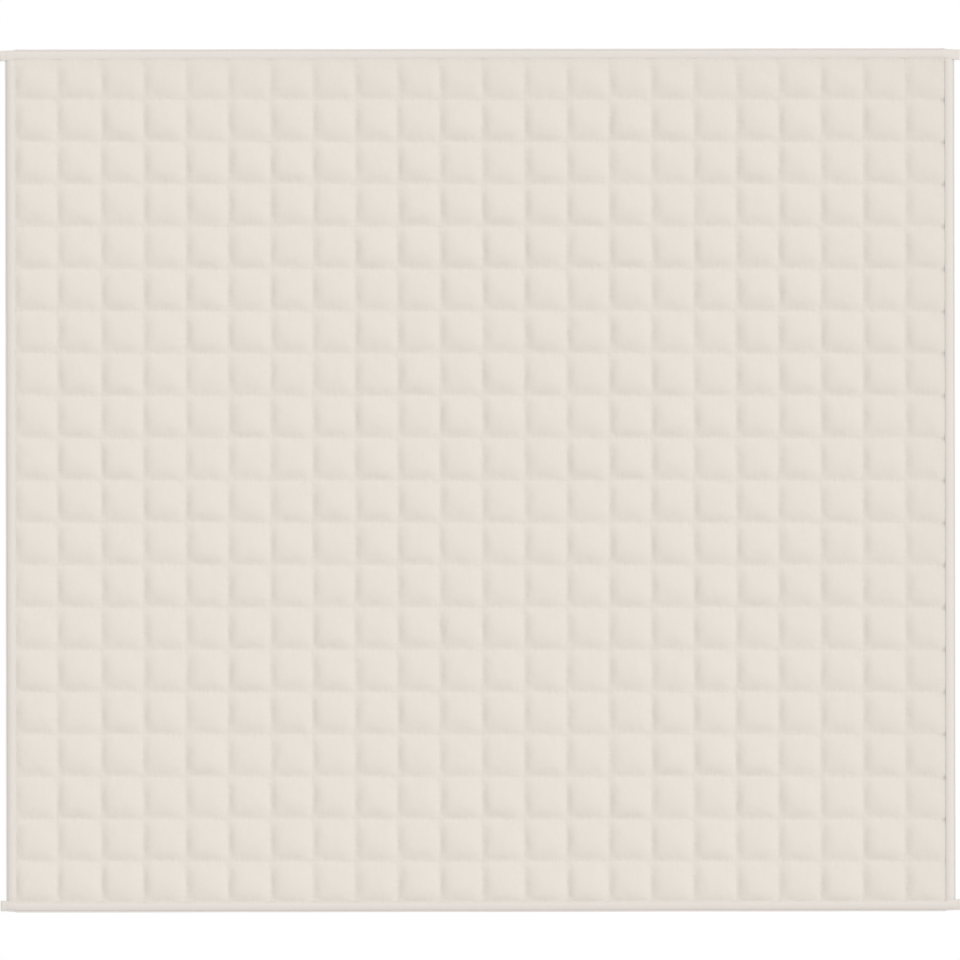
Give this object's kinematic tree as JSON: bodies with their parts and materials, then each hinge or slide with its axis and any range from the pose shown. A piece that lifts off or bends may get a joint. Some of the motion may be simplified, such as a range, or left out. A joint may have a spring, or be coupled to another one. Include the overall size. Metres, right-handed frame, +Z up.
{
  "type": "weighted blanket",
  "caption": "Flat quilted weighted blanket with bead-filled square pockets and a bound edge, laid over a sleeper as a bed cover.",
  "frame": {"origin": "middle of the blanket's outline on its underside, level with the surface that it lies on", "axes": "+X along the longer side, +Y along the shorter side, +Z up out of the upper face"},
  "size_m": [2.225, 2, 0.0158],
  "materials": {
    "quilt_cover": "matt closely woven cotton in warm off-white, softly puckered along its quilting seams",
    "binding_tape": "matt folded cotton tape, slightly greyer than the cover, with a line of stitching along its inner edge"
  },
  "bodies": {
    "root": {"quilt": "quilt_cover", "binding_top": "binding_tape", "binding_bottom": "binding_tape", "binding_left": "binding_tape", "binding_right": "binding_tape"}
  },
  "joints": []
}
